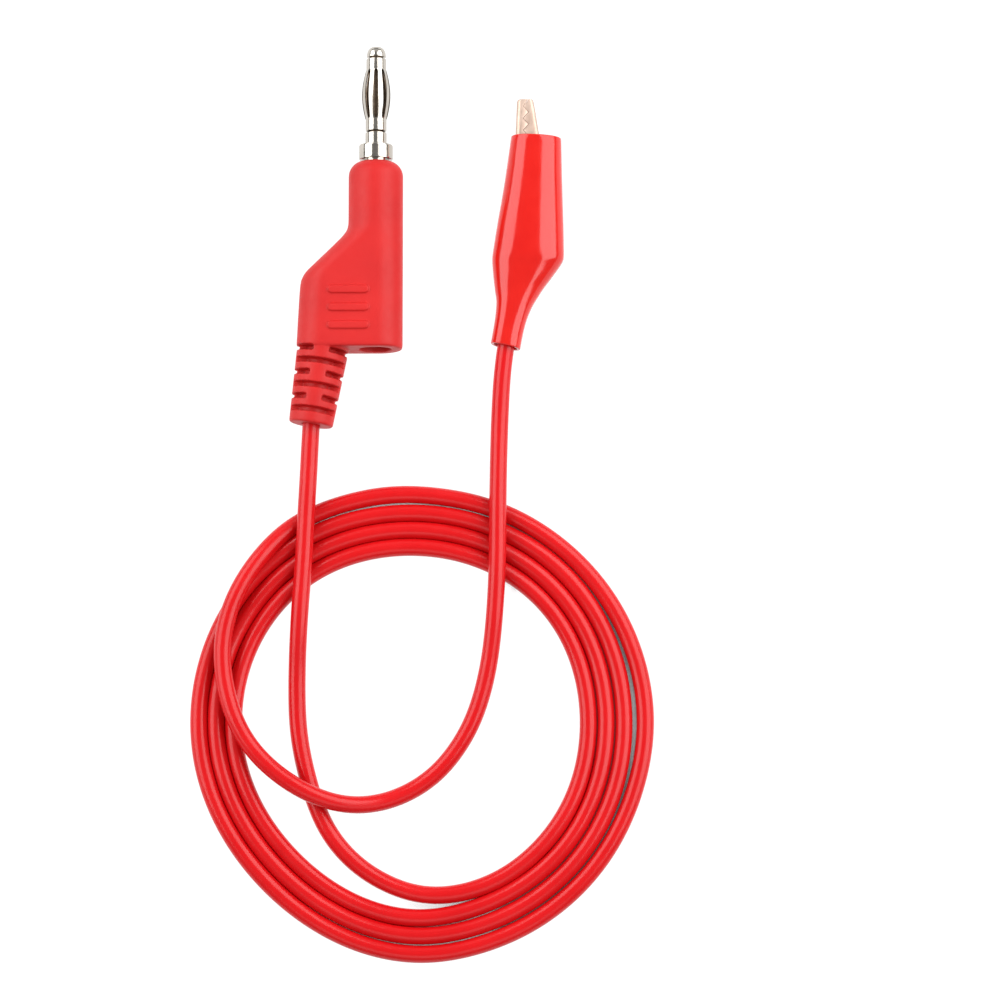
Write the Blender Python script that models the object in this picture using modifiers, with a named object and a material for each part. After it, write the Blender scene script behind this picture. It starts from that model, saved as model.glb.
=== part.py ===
"""Alligator clip lead: a stackable 4 mm banana plug, a coiled test cable and a booted alligator clip.

The lead lies on the plane z = 0. The plug and the clip both point along +Y, and the origin is
under the middle of the two of them. The clip's jaws open in the XY plane.
"""

import math

import bmesh
import bpy
from mathutils import Matrix, Vector

MM = 0.001
GAP = 0.3 * MM  # clearance between pieces that would touch

# Plug: all of it is 62 mm long along Y, from the tip of the pin to the end of the strain relief.
PLUG_X = -8.4 * MM  # axis of the pin, the barrel and the rear socket
PLUG_Z = 4.35 * MM
PIN_TIP_Y = 31.0 * MM
BARREL_RADIUS = 4.35 * MM
NECK_Y = 12.1 * MM  # top face of the housing, under the collar
NECK_ROUNDING = 2.5 * MM
LEG_LEFT_X = -21.05 * MM  # left edge of the housing's rear face
HOUSING_END_Y = -18.7 * MM
HOUSING_EDGE = 4.1 * MM  # radius of the long rounded edges
END_ROUNDING = 0.5 * MM
BAR_ROWS = (-9.55 * MM, -12.45 * MM, -15.35 * MM)  # y of the raised grip bars
BAR_MIDDLE_X = -12.65 * MM
BAR_HALF_LENGTH = 3.3 * MM
BAR_HALF_HEIGHT = 0.6 * MM
BAR_HALF_THICKNESS = 0.35 * MM

COLLAR_RADIUS = 2.75 * MM
COLLAR_TOP_Y = 14.8 * MM
SHAFT_RADIUS = 1.73 * MM
CORE_RADIUS = 1.05 * MM  # the thin stretch inside the spring cage
BODY_RADIUS = 2.95 * MM  # the stretch inside the housing
BODY_TOP_Y = 9.0 * MM
THROAT_RADIUS = 1.9 * MM  # between the collar and the body
HEAD_RADIUS = 1.57 * MM
SOCKET_RADIUS = 2.0 * MM
SOCKET_DEPTH = 13.0 * MM
SOCKET_FACE_Y = -15.7 * MM
MOUTH_RADIUS = 2.6 * MM
SOLDER_HOLE_Y = -0.6 * MM
SOLDER_HOLE_DEPTH = 1.6 * MM
SOLDER_DEPTH = 1.2 * MM
SOLDER_CUP_RADIUS = 1.2 * MM

CAGE_TOP_Y = 29.0 * MM
CAGE_BOTTOM_Y = 17.1 * MM
LEAF_TOP_Y = 27.2 * MM
LEAF_BOTTOM_Y = 19.0 * MM
CAGE_TOP_RADIUS = 1.62 * MM
CAGE_BOTTOM_RADIUS = 1.70 * MM
CAGE_BULGE_RADIUS = 2.29 * MM
CAGE_WALL = 0.22 * MM
LEAVES = 9

# Strain relief: a tapered row of rings, leaning out to the left of the housing's leg.
RELIEF_TOP = Vector((-16.9, -18.7, 4.35)) * MM
RELIEF_END = Vector((-18.65, -30.85, 4.35)) * MM
RELIEF_TOP_RADIUS = 4.1 * MM
RELIEF_END_RADIUS = 3.55 * MM
RELIEF_CORE_RADIUS = 2.3 * MM
GROOVES = 6
FIRST_GROOVE = 0.3 * MM
GROOVE_PITCH = 1.97 * MM
GROOVE_WIDTH = 0.8 * MM
FRONT_RIB = 1.3 * MM  # half width of the ribs that join the rings on the two faces
POCKET_WEB = 0.6 * MM  # half thickness of the web between the front and back cuts
GROOVE_WEB = 1.0 * MM
WEB_NOTCH = 0.45 * MM  # depth of the notch in the web's outer edge
NOTCH_WIDTH = 0.56 * MM
CUTTER_REACH = 6.0 * MM  # far enough to pass outside the relief

CABLE_RADIUS = 1.4 * MM
CONDUCTOR_RADIUS = 0.55 * MM
JACKET_IN_PLUG = [
    RELIEF_END,
    RELIEF_TOP,
    Vector((-16.75, -14.5, 4.35)) * MM,
    Vector((-16.6, -10.5, 4.35)) * MM,
]

# Clip: 40 mm from the jaw tips to the boot's tail; the pivot's axis is parallel to Z.
CLIP_Z = 4.0 * MM
PIVOT = Vector((16.5, 7.6, 4.0)) * MM
RIVET_RADIUS = 0.75 * MM
RIVET_HEAD_RADIUS = 1.4 * MM
EAR_RADIUS = 2.1 * MM  # of both jaws round the pivot
SPRING_COIL_RADIUS = 1.25 * MM
SPRING_COIL_HALF_HEIGHT = 0.72 * MM
SPRING_TURNS = 2.5
SPRING_WIRE_RADIUS = 0.22 * MM
JAW_TIP_Y = 22.2 * MM
TOOTH_PITCH = 2.0 * MM
TEETH = 5
UPPER_HALF_WIDTH = 1.55 * MM
LOWER_HALF_WIDTH = 2.3 * MM
SHEET = 0.35 * MM
BOOT_WALL = 0.55 * MM
BOOT_SQUARENESS = 2 / 3  # 1 is an ellipse, and less is squarer
TAIL_LEAN = math.radians(12.5)  # of the cable and the crimps from the Y axis
TAIL_END = Vector((12.56, -18.1, 4.0)) * MM
WIRE_CRIMP_START = Vector((13.85, -7.2, 4.0)) * MM
WIRE_CRIMP_END = Vector((13.8, -5.9, 4.0)) * MM

# Coil of the cable
COIL_CENTRE = Vector((-0.8, -78.75, 0)) * MM
COIL_INNER_RADIUS = 25.3 * MM
COIL_OUTER_RADIUS = 38.7 * MM
COIL_HEIGHT = 2.5 * MM

# Routes of the cable's free stretches, in millimetres: from the plug to the coil, and from the
# coil, across it and over it, to the clip.
PLUG_LEAD = [
    (-18.7, -31.2, 4.35), (-18.9, -36.3, 4.35), (-19.1, -41.3, 4.3), (-19.4, -45.0, 4.25),
    (-19.6, -51.6, 4.25), (-20.0, -56.9, 4.3), (-20.3, -60.9, 4.4), (-20.6, -66.0, 3.4),
    (-20.8, -71.2, 2.0), (-20.7, -79.2, 1.4), (-20.0, -83.5, 1.4), (-18.3, -90.1, 1.4),
    (-16.5, -94.9, 1.4), (-15.0, -97.2, 1.4),
]
CLIP_LEAD = [
    (-31.9, -61.4, 4.3), (-32.7, -64.9, 4.3), (-32.8, -67.8, 4.3), (-32.6, -70.7, 4.3),
    (-31.7, -75.2, 4.3), (-29.8, -80.3, 4.3), (-26.9, -84.2, 4.4), (-22.9, -87.7, 4.7),
    (-18.7, -90.2, 4.7), (-14.2, -91.8, 3.8), (-10.6, -92.1, 2.7), (-5.2, -91.0, 1.6),
    (-1.5, -89.1, 1.45), (2.1, -86.6, 1.45), (4.0, -84.0, 1.45), (7.0, -79.5, 1.45),
    (8.9, -73.9, 1.5), (10.1, -68.4, 2.0), (10.8, -61.6, 3.6), (11.2, -54.8, 4.25),
    (11.3, -49.3, 4.3), (11.3, -43.7, 4.3), (11.4, -38.1, 3.7), (11.5, -33.2, 3.1),
    (11.6, -29.9, 3.0), (11.8, -26.1, 3.3), (12.0, -21.7, 3.8), (12.45, -18.6, 4.0),
]
LEAD_STEP = 6.5 * MM


def start_scene():
    for obj in list(bpy.data.objects):
        bpy.data.objects.remove(obj, do_unlink=True)
    scene = bpy.context.scene
    parts = bpy.data.collections.new("alligator_clip_lead")
    cutters = bpy.data.collections.new("cutters")
    scene.collection.children.link(parts)
    scene.collection.children.link(cutters)
    return parts, cutters


def finish_of(name, colour, roughness, metallic=0.0):
    material = bpy.data.materials.new(name)
    material.use_nodes = True
    shader = material.node_tree.nodes["Principled BSDF"]
    shader.inputs["Base Color"].default_value = (*colour, 1.0)
    shader.inputs["Roughness"].default_value = roughness
    shader.inputs["Metallic"].default_value = metallic
    material.diffuse_color = (*colour, 1.0)
    return material


PARTS, CUTTERS = start_scene()
RED_MOULDING = finish_of("red_moulding", (0.83, 0.04, 0.04), 0.5)
RED_CABLE = finish_of("red_cable", (0.78, 0.01, 0.013), 0.35)
RED_BOOT = finish_of("red_boot", (0.87, 0.017, 0.013), 0.2)
NICKEL = finish_of("nickel", (0.78, 0.74, 0.68), 0.18, 1.0)
COPPERED_STEEL = finish_of("coppered_steel", (0.78, 0.56, 0.43), 0.3, 1.0)
SPRING_STEEL = finish_of("spring_steel", (0.42, 0.42, 0.43), 0.3, 1.0)
COPPER = finish_of("bare_copper", (0.72, 0.35, 0.2), 0.3, 1.0)
TIN = finish_of("tin_solder", (0.62, 0.62, 0.6), 0.35, 1.0)


def add_part(obj, material):
    obj.data.materials.clear()
    obj.data.materials.append(material)
    PARTS.objects.link(obj)
    return obj


def add_cutter(obj):
    obj.hide_render = True
    obj.display_type = "WIRE"
    CUTTERS.objects.link(obj)
    return obj


def shade_round(mesh, degrees=35):
    mesh.shade_smooth()
    mesh.set_sharp_from_angle(angle=math.radians(degrees))


def object_from(name, bm, round_surface=True):
    mesh = bpy.data.meshes.new(name)
    bm.to_mesh(mesh)
    bm.free()
    if round_surface:
        shade_round(mesh)
    return bpy.data.objects.new(name, mesh)


def turned(name, profile, steps=32):
    """A solid turned about its own Z axis, from (radius, height) pairs listed from top to bottom."""
    mesh = bpy.data.meshes.new(name)
    points = [(radius, 0, height) for radius, height in profile]
    edges = [(i, i + 1) for i in range(len(points) - 1)]
    mesh.from_pydata(points, edges, [])
    obj = bpy.data.objects.new(name, mesh)
    screw = obj.modifiers.new("turn", "SCREW")
    screw.axis = "Z"
    screw.steps = steps
    screw.render_steps = steps
    screw.use_merge_vertices = True
    screw.merge_threshold = 1e-6
    screw.use_smooth_shade = True
    return obj


def turned_ring(name, profile, steps=32):
    """A ring turned about its own Z axis, from a closed outline of (radius, height) pairs."""
    return turned(name, [*profile, profile[0]], steps)


def stand_along_y(obj, x, z):
    """Turns an object's own Z axis to the world's +Y."""
    obj.location = (x, 0, z)
    obj.rotation_euler = (-math.pi / 2, 0, 0)
    return obj


def point_along(obj, start, direction):
    """Puts an object's own origin at start and its own Z axis along direction, in the XY plane."""
    side = Vector((0, 0, 1))
    across = side.cross(direction).normalized()
    turn = Matrix((across, side, direction.normalized())).transposed()
    obj.matrix_world = Matrix.Translation(start) @ turn.to_4x4()
    return obj


def arc(centre, radius, start, end, steps):
    """Points on an arc, from one angle to another in degrees."""
    points = []
    for i in range(steps + 1):
        angle = math.radians(start + (end - start) * i / steps)
        points.append((centre[0] + radius * math.cos(angle), centre[1] + radius * math.sin(angle)))
    return points


def plate(name, outline, half_thickness):
    """A flat outline in its own XY plane, thick along its own Z."""
    curve = bpy.data.curves.new(name, "CURVE")
    curve.dimensions = "2D"
    curve.fill_mode = "BOTH"
    curve.extrude = half_thickness
    spline = curve.splines.new("POLY")
    spline.points.add(len(outline) - 1)
    for point, (x, y) in zip(spline.points, outline):
        point.co = (x, y, 0, 1)
    spline.use_cyclic_u = True
    return bpy.data.objects.new(name, curve)


def tube(name, points, radius):
    """A round wire or cable along points, with closed ends."""
    curve = bpy.data.curves.new(name, "CURVE")
    curve.dimensions = "3D"
    curve.bevel_depth = radius
    curve.bevel_resolution = 2
    curve.use_fill_caps = True
    spline = curve.splines.new("POLY")
    spline.points.add(len(points) - 1)
    for point, place in zip(spline.points, points):
        point.co = (*place, 1)
    spline.use_smooth = True
    return bpy.data.objects.new(name, curve)


def as_mesh(curve_object):
    """A welded mesh object in place of a curve object."""
    bpy.context.scene.collection.objects.link(curve_object)
    bpy.context.view_layer.update()
    graph = bpy.context.evaluated_depsgraph_get()
    mesh = bpy.data.meshes.new_from_object(curve_object.evaluated_get(graph))
    bm = bmesh.new()
    bm.from_mesh(mesh)
    bmesh.ops.remove_doubles(bm, verts=bm.verts, dist=1e-6)
    bmesh.ops.recalc_face_normals(bm, faces=bm.faces)
    bm.to_mesh(mesh)
    bm.free()
    name = curve_object.name
    place = curve_object.matrix_world.copy()
    bpy.data.objects.remove(curve_object, do_unlink=True)
    obj = bpy.data.objects.new(name, mesh)
    obj.matrix_world = place
    return obj


def combine(obj, other, operation, label):
    """Adds a Boolean modifier; the other object joins the cutters."""
    if other.name not in CUTTERS.objects:
        add_cutter(other)
    boolean = obj.modifiers.new(label, "BOOLEAN")
    boolean.operation = operation
    boolean.solver = "EXACT"
    boolean.object = other


def cut(obj, cutter, label):
    combine(obj, cutter, "DIFFERENCE", label)


def join(obj, addition, label):
    combine(obj, addition, "UNION", label)


def bridge_rings(bm, rings, close_ends):
    """Skins neighbouring rings of as many points each."""
    count = len(rings[0])
    for first, second in zip(rings, rings[1:]):
        for i in range(count):
            j = (i + 1) % count
            bm.faces.new((first[i], first[j], second[j], second[i]))
    if close_ends:
        bm.faces.new(rings[0])
        bm.faces.new(rings[-1])
    bmesh.ops.recalc_face_normals(bm, faces=bm.faces)


def smooth_route(route, step):
    """Points about one step apart on a smooth curve through a route given in millimetres."""
    marks = [Vector(point) * MM for point in route]
    marks = [2 * marks[0] - marks[1], *marks, 2 * marks[-1] - marks[-2]]
    fine = []
    for a, b, c, d in zip(marks, marks[1:], marks[2:], marks[3:]):
        for i in range(20):
            t = i / 20
            along = (c - a) * t + (2 * a - 5 * b + 4 * c - d) * t**2 + (3 * b - a - 3 * c + d) * t**3
            fine.append(b + along / 2)
    fine.append(marks[-2])
    travelled = [0.0]
    for a, b in zip(fine, fine[1:]):
        travelled.append(travelled[-1] + (b - a).length)
    pieces = round(travelled[-1] / step)
    points = [fine[0]]
    at = 0
    for i in range(1, pieces):
        goal = travelled[-1] * i / pieces
        while travelled[at + 1] < goal:
            at += 1
        share = (goal - travelled[at]) / (travelled[at + 1] - travelled[at])
        points.append(fine[at].lerp(fine[at + 1], share))
    points.append(fine[-1])
    return points


def rounded_section(y, left, right, half_height, corner, steps=7):
    """Points of an upright section across Y, with rounded corners, centred on the plug's height."""
    points = []
    corners = (
        (right - corner, half_height - corner, 0),
        (left + corner, half_height - corner, 90),
        (left + corner, corner - half_height, 180),
        (right - corner, corner - half_height, 270),
    )
    for x, z, start in corners:
        for px, pz in arc((x, z), corner, start, start + 90, steps):
            points.append((px, y, PLUG_Z + pz))
    return points


def housing_sections():
    """Sections of the housing from its neck to its rear face."""
    right = PLUG_X + BARREL_RADIUS + 0.05 * MM
    left = PLUG_X - BARREL_RADIUS - 0.05 * MM
    sections = []
    for i in range(6):
        angle = math.pi / 2 * i / 5
        inset = NECK_ROUNDING * (1 - math.sin(angle))
        y = NECK_Y - NECK_ROUNDING * (1 - math.cos(angle))
        radius = BARREL_RADIUS - inset
        sections.append((y, left + inset, right - inset, radius, radius))
    # Left edge of the leg: straight down the barrel, out along the flank, round its corner.
    flank = [
        (2.2, -12.8), (1.0, -12.95), (0.0, -13.5), (-1.0, -14.4), (-3.0, -16.45), (-5.0, -18.55),
        (-6.2, -19.65), (-7.2, -20.25), (-8.6, -20.55), (-13.0, -20.8), (-18.0, -21.05),
    ]
    for y, x in flank:
        share = min(1.0, max(0.0, (2.2 - y) / 6.0))
        edge = BARREL_RADIUS + (HOUSING_EDGE - BARREL_RADIUS) * share
        sections.append((y * MM, x * MM, right, BARREL_RADIUS, edge))
    for i in range(1, 4):
        angle = math.pi / 2 * i / 3
        inset = END_ROUNDING * (1 - math.cos(angle))
        y = HOUSING_END_Y + END_ROUNDING * (1 - math.sin(angle))
        half = BARREL_RADIUS - inset
        sections.append((y, LEG_LEFT_X + inset, right - inset, half, HOUSING_EDGE - inset))
    return sections


def grip_bar(name, y):
    """A raised bar with round ends across the housing's front face."""
    reach = BAR_HALF_LENGTH - BAR_HALF_HEIGHT
    outline = arc((BAR_MIDDLE_X + reach, y), BAR_HALF_HEIGHT, -90, 90, 6)
    outline += arc((BAR_MIDDLE_X - reach, y), BAR_HALF_HEIGHT, 90, 270, 6)
    bar = as_mesh(plate(name, outline, BAR_HALF_THICKNESS))
    bar.location.z = 2 * PLUG_Z - 0.05 * MM
    return bar


def groove_outlines(i):
    """The cuts between two rings on one face: two pockets beside the rib, or one groove across."""
    reach = CUTTER_REACH
    core = RELIEF_CORE_RADIUS
    web = POCKET_WEB if i % 2 == 0 else GROOVE_WEB
    start = math.degrees(math.asin(web / core))
    if i % 2 == 1:
        floor = arc((0, 0), core, start, 180 - start, 12)
        return [[(-reach, web), (-reach, reach), (reach, reach), (reach, web), *floor]]
    end = math.degrees(math.acos(FRONT_RIB / core))
    floor = arc((0, 0), core, start, end, 6)
    pocket = [(FRONT_RIB, reach), (reach, reach), (reach, web), *floor]
    return [pocket, [(-x, y) for x, y in pocket]]


def between_rings(name, rows, outlines_of, width):
    """One cutter for the same kind of cut at several rows, on both sides of the relief."""
    direction = RELIEF_END - RELIEF_TOP
    bm = bmesh.new()
    for i in rows:
        place = RELIEF_TOP + direction.normalized() * (FIRST_GROOVE + i * GROOVE_PITCH)
        for outline in outlines_of(i):
            for half in range(2):
                groove = as_mesh(plate("groove", outline, width / 2))
                point_along(groove, place, direction)
                groove.data.transform(groove.matrix_world @ Matrix.Rotation(math.pi * half, 4, "Z"))
                bm.from_mesh(groove.data)
                bpy.data.objects.remove(groove, do_unlink=True)
    bmesh.ops.recalc_face_normals(bm, faces=bm.faces)
    return object_from(name, bm, round_surface=False)


def web_notch(i):
    """The shallow notch in the outer edge of the web between two pockets."""
    share = i * GROOVE_PITCH / (RELIEF_END - RELIEF_TOP).length
    radius = RELIEF_TOP_RADIUS + (RELIEF_END_RADIUS - RELIEF_TOP_RADIUS) * share
    edge = radius - WEB_NOTCH
    reach = CUTTER_REACH
    return [[(edge, -reach), (reach, -reach), (reach, reach), (edge, reach)]]


def make_housing():
    bm = bmesh.new()
    rings = []
    for section in housing_sections():
        rings.append([bm.verts.new(point) for point in rounded_section(*section)])
    bridge_rings(bm, rings, close_ends=True)
    bmesh.ops.remove_doubles(bm, verts=bm.verts, dist=1e-6)
    housing = add_part(object_from("plug_housing", bm), RED_MOULDING)

    direction = RELIEF_END - RELIEF_TOP
    length = direction.length
    profile = [
        (0, length),
        (RELIEF_END_RADIUS - 0.3 * MM, length),
        (RELIEF_END_RADIUS, length - 0.3 * MM),
        (RELIEF_TOP_RADIUS, -1.0 * MM),
        (0, -1.0 * MM),
    ]
    relief = point_along(turned("relief_body", profile, 40), RELIEF_TOP, direction)
    join(housing, relief, "strain_relief")
    rows = range(GROOVES)
    cut(housing, between_rings("relief_grooves", rows, groove_outlines, GROOVE_WIDTH), "grooves")
    cut(housing, between_rings("web_notches", rows[::2], web_notch, NOTCH_WIDTH), "notches")
    for i, y in enumerate(BAR_ROWS):
        join(housing, grip_bar(f"grip_bar_{i + 1}", y), f"bar_{i + 1}")

    # The core's cavity, from the neck to the mouth of the rear socket.
    top = NECK_Y + 1.0 * MM
    shoulder = BODY_TOP_Y + GAP
    body = BODY_RADIUS + GAP
    seat = SOCKET_FACE_Y - GAP
    neck = THROAT_RADIUS + GAP
    cavity = [
        (0, top), (neck, top), (neck, shoulder), (body, shoulder), (body, seat),
        (MOUTH_RADIUS, seat), (MOUTH_RADIUS, HOUSING_END_Y - 1.0 * MM), (0, HOUSING_END_Y - 1.0 * MM),
    ]
    cut(housing, stand_along_y(turned("core_cavity", cavity, 36), PLUG_X, PLUG_Z), "core_cavity")

    # The cable's channel, up the strain relief into the leg, and the conductor's to the core.
    beyond = RELIEF_END + direction.normalized() * 2 * MM
    past_jacket = JACKET_IN_PLUG[-1] + Vector((0, GAP, 0))
    channel = tube("jacket_channel", [beyond, *JACKET_IN_PLUG, past_jacket], CABLE_RADIUS + GAP)
    cut(housing, as_mesh(channel), "jacket_channel")
    wire = tube("conductor_channel", conductor_in_plug(-0.9 * MM), CONDUCTOR_RADIUS + GAP + 0.1 * MM)
    cut(housing, as_mesh(wire), "conductor_channel")
    return housing


def conductor_in_plug(past_jacket):
    """From a distance past the jacket's end, up the leg and into the side hole of the core."""
    hole_end = PLUG_X - BODY_RADIUS + SOLDER_DEPTH
    return [
        JACKET_IN_PLUG[-1] + Vector((0, past_jacket, 0)),
        Vector((-16.3, -8.0, 4.35)) * MM,
        Vector((-15.2, -5.6, 4.35)) * MM,
        Vector((-13.9, -3.4, 4.35)) * MM,
        Vector((-12.95, -1.6, 4.35)) * MM,
        Vector((-12.3, -0.8, 4.35)) * MM,
        Vector((-11.75, -0.6, 4.35)) * MM,
        Vector((hole_end, SOLDER_HOLE_Y, PLUG_Z)),
    ]


def make_core():
    profile = [
        (0, PIN_TIP_Y),
        (0.8 * MM, PIN_TIP_Y),
        (1.22 * MM, PIN_TIP_Y - 0.3 * MM),
        (1.48 * MM, PIN_TIP_Y - 0.8 * MM),
        (HEAD_RADIUS, CAGE_TOP_Y + GAP),
        (CORE_RADIUS, CAGE_TOP_Y + GAP),
        (CORE_RADIUS, CAGE_BOTTOM_Y - GAP),
        (SHAFT_RADIUS, CAGE_BOTTOM_Y - GAP),
        (SHAFT_RADIUS, COLLAR_TOP_Y),
        (COLLAR_RADIUS - 0.2 * MM, COLLAR_TOP_Y),
        (COLLAR_RADIUS, COLLAR_TOP_Y - 0.25 * MM),
        (COLLAR_RADIUS, NECK_Y + GAP),
        (THROAT_RADIUS, NECK_Y + GAP),
        (THROAT_RADIUS, BODY_TOP_Y),
        (BODY_RADIUS, BODY_TOP_Y),
        (BODY_RADIUS, SOCKET_FACE_Y),
        (SOCKET_RADIUS + 0.25 * MM, SOCKET_FACE_Y),
        (SOCKET_RADIUS, SOCKET_FACE_Y + 0.4 * MM),
        (SOCKET_RADIUS, SOCKET_FACE_Y + SOCKET_DEPTH),
        (0, SOCKET_FACE_Y + SOCKET_DEPTH + 1.2 * MM),
    ]
    core = add_part(stand_along_y(turned("plug_core", profile, 36), PLUG_X, PLUG_Z), NICKEL)
    radius = SOLDER_CUP_RADIUS
    length = SOLDER_HOLE_DEPTH + 1.0 * MM
    drill = turned("solder_hole", [(0, length), (radius, length), (radius, 0), (0, 0)], 16)
    start = Vector((PLUG_X - BODY_RADIUS + SOLDER_HOLE_DEPTH, SOLDER_HOLE_Y, PLUG_Z))
    cut(core, point_along(drill, start, Vector((-1, 0, 0))), "solder_hole")


def make_solder():
    """The solder in the core's side cup, round the conductor."""
    inner = CONDUCTOR_RADIUS + 0.2 * MM
    outer = SOLDER_CUP_RADIUS - 0.2 * MM
    outline = [(inner + 0.1 * MM, 1.05 * MM), (outer, 0.9 * MM), (outer, 0.0), (inner, 0.0)]
    solder = turned_ring("plug_solder", outline, 20)
    start = Vector((PLUG_X - BODY_RADIUS + SOLDER_DEPTH, SOLDER_HOLE_Y, PLUG_Z))
    add_part(point_along(solder, start, Vector((-1, 0, 0))), TIN)


def leaf_radius(y):
    """Outer radius of the cage between its two collars."""
    share = (LEAF_TOP_Y - y) / (LEAF_TOP_Y - LEAF_BOTTOM_Y)
    base = CAGE_TOP_RADIUS + (CAGE_BOTTOM_RADIUS - CAGE_TOP_RADIUS) * share
    swell = CAGE_BULGE_RADIUS - (CAGE_TOP_RADIUS + CAGE_BOTTOM_RADIUS) / 2
    return base + swell * math.sin(math.pi * share) ** 0.85


def make_cage():
    stations = 12
    outer = [(CAGE_TOP_RADIUS, CAGE_TOP_Y)]
    for i in range(stations + 1):
        y = LEAF_TOP_Y + (LEAF_BOTTOM_Y - LEAF_TOP_Y) * i / stations
        outer.append((leaf_radius(y), y))
    outer.append((CAGE_BOTTOM_RADIUS, CAGE_BOTTOM_Y))
    inner = [(radius - CAGE_WALL, y) for radius, y in reversed(outer)]
    cage = stand_along_y(turned_ring("spring_cage", outer + inner, 48), PLUG_X, PLUG_Z)
    add_part(cage, NICKEL)

    half_length = (LEAF_TOP_Y - LEAF_BOTTOM_Y) / 2 - 0.1 * MM
    middle = (LEAF_TOP_Y + LEAF_BOTTOM_Y) / 2
    outline = []
    for side in (1, -1):
        for i in range(8):
            along = side * half_length * math.cos(math.pi * i / 8)
            width = 0.1 * MM + 0.26 * MM * math.sin(math.pi * i / 8)
            outline.append((side * width, along))
    bm = bmesh.new()
    for i in range(LEAVES):
        slot = as_mesh(plate("slot", outline, 1.5 * MM))
        slot.data.transform(Matrix.Translation((0, 0, 2.5 * MM)))
        slot.data.transform(Matrix.Rotation(2 * math.pi * i / LEAVES, 4, "Y"))
        slot.data.transform(Matrix.Translation((PLUG_X, middle, PLUG_Z)))
        bm.from_mesh(slot.data)
        bpy.data.objects.remove(slot, do_unlink=True)
    cut(cage, object_from("leaf_slots", bm, round_surface=False), "leaf_slots")


def tail_point(y):
    """The point of the clip's tail axis at one y, in millimetres."""
    x = TAIL_END.x + (y * MM - TAIL_END.y) * math.tan(TAIL_LEAN)
    return Vector((x, y * MM, CLIP_Z))


def tooth_line(first, second, offset):
    """Zigzag points from the tips to the back of the teeth, in x and y."""
    points = []
    for i in range(TEETH * 2 + 1):
        x = (first if i % 2 == 0 else second) + offset
        points.append((x, JAW_TIP_Y - TOOTH_PITCH / 2 * i - (0.15 * MM if i else 0)))
    return points


def scaled(points):
    return [(x * MM, y * MM) for x, y in points]


def lower_jaw_outline():
    teeth = tooth_line(16.1 * MM, 15.4 * MM, -0.15 * MM)
    ear = arc((PIVOT.x, PIVOT.y), EAR_RADIUS, 75, -75, 8)
    ear.insert(0, (15.95 * MM, 10.3 * MM))
    underside = scaled([(14.9, 3.0), (14.4, 0.5), (14.2, -2.5), (13.4, -4.4), (12.75, -5.4)])
    outer = scaled([(12.35, -5.4), (12.2, -3.5), (12.5, -0.5), (13.2, 4.0), (13.75, 8.0)])
    tip = scaled([(14.15, 13.0), (14.45, 17.0), (14.5, 20.8), (14.75, 22.05)])
    return teeth + ear + underside + outer + tip


def upper_jaw_outline():
    teeth = tooth_line(16.1 * MM, 15.4 * MM, 0.2 * MM)
    ear = arc((PIVOT.x, PIVOT.y), EAR_RADIUS, 110, 255, 8)
    ear.insert(0, (16.35 * MM, 10.3 * MM))
    underside = scaled([(17.7, 3.8), (18.3, 1.0), (18.9, -2.0), (19.3, -3.6)])
    outer = scaled([(20.5, -3.9), (20.75, -3.4), (20.5, 0.0), (19.9, 5.0), (19.1, 10.0)])
    tip = scaled([(18.4, 14.0), (17.85, 17.2), (17.4, 20.6), (17.1, 21.8), (16.8, 22.2)])
    return teeth + ear + underside + outer + tip


def channel_cutter(name, edge, half_width):
    """The hollow of a stamped channel: all inside an outline, between its side walls."""
    cutter = as_mesh(plate(name, edge, half_width))
    cutter.location.z = CLIP_Z
    return cutter


def pivot_drill(name):
    radius = RIVET_RADIUS + GAP
    drill = turned(name, [(0, 5 * MM), (radius, 5 * MM), (radius, -5 * MM), (0, -5 * MM)], 20)
    drill.location = PIVOT
    return drill


def narrow_front(obj):
    """Draws the front of the lower jaw in to the width of the upper jaw."""
    bm = bmesh.new()
    bm.from_mesh(obj.data)
    for y in (12.2 * MM, 10.5 * MM):
        geometry = [*bm.verts, *bm.edges, *bm.faces]
        bmesh.ops.bisect_plane(bm, geom=geometry, dist=1e-7, plane_co=(0, y, 0), plane_no=(0, 1, 0))
    share = UPPER_HALF_WIDTH / LOWER_HALF_WIDTH
    for vert in bm.verts:
        if vert.co.y > 12.1 * MM:
            vert.co.z *= share
    bm.to_mesh(obj.data)
    bm.free()


def crimp(name, start, end, inner, outer):
    """An open-seamed barrel that grips the cable or the conductor."""
    length = (end - start).length
    outline = [(outer, length), (outer, 0), (inner, 0), (inner, length)]
    barrel = turned_ring(name, outline, 24)
    return point_along(barrel, start, end - start)


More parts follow.
